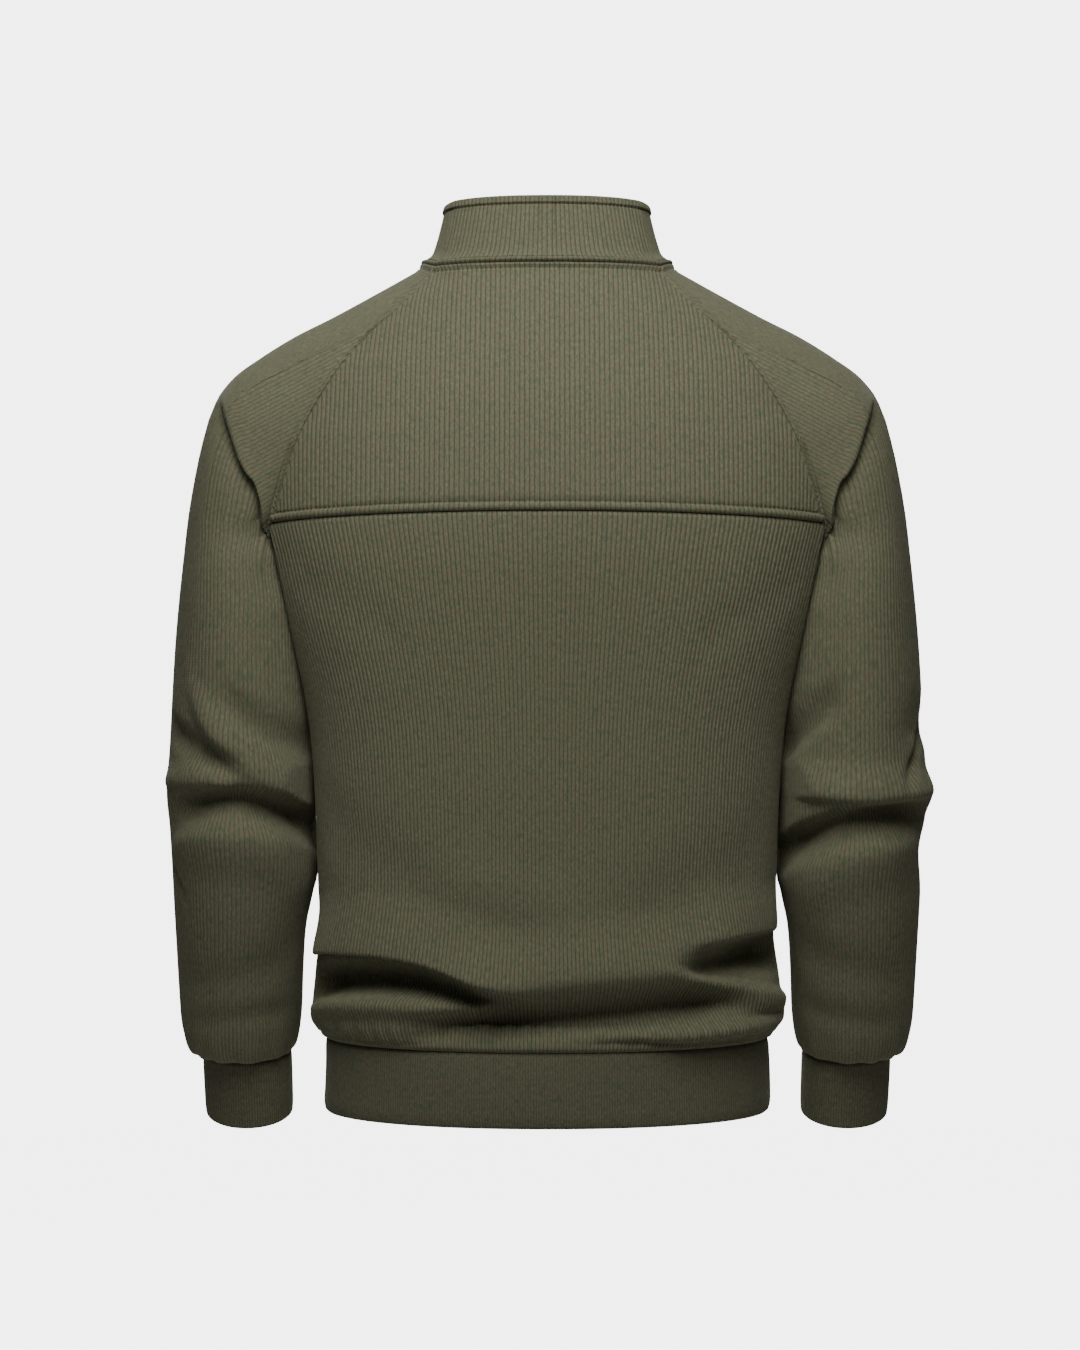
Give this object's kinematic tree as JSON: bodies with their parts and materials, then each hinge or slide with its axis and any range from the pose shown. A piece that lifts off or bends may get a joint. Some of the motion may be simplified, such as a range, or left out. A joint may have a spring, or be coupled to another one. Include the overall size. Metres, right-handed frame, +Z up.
{
  "type": "quarter zip sweater",
  "caption": "Rib-knit pullover with raglan sleeves, stand collar, short front zip, hem band and cuffs, filled out as worn.",
  "frame": {"origin": "middle of the neck, level with the collar seam at the centre back, where the wearer's neck and shoulders hold the garment", "axes": "+Z up along the wearer's spine, -Y to the wearer's front, +X to the wearer's left"},
  "size_m": [0.6299, 0.2441, 0.7632],
  "materials": {
    "rib_knit": "matt ribbed wool knit",
    "fine_rib": "matt fine ribbed knit",
    "zip_tape": "woven tape",
    "zip_metal": "dark antique metal"
  },
  "bodies": {
    "garment": {"back_yoke": "rib_knit", "back_panel": "rib_knit", "front_panel": "rib_knit", "sleeve_left": "rib_knit", "sleeve_right": "rib_knit", "collar": "rib_knit", "hem_band": "fine_rib", "cuff_left": "fine_rib", "cuff_right": "fine_rib", "zip_tape_left": "zip_tape", "zip_tape_right": "zip_tape", "zip_chain": "zip_metal", "zip_slider": "zip_metal"},
    "pull_tab": {"zip_pull_tab": "zip_metal"}
  },
  "joints": [
    {"name": "pull_tab_hinge", "type": "hinge", "parent": "garment", "child": "pull_tab", "pos_m": [0, -0.07396, -0.02554], "axis": [-1, 0, 0], "range_deg": [0, 165]}
  ]
}
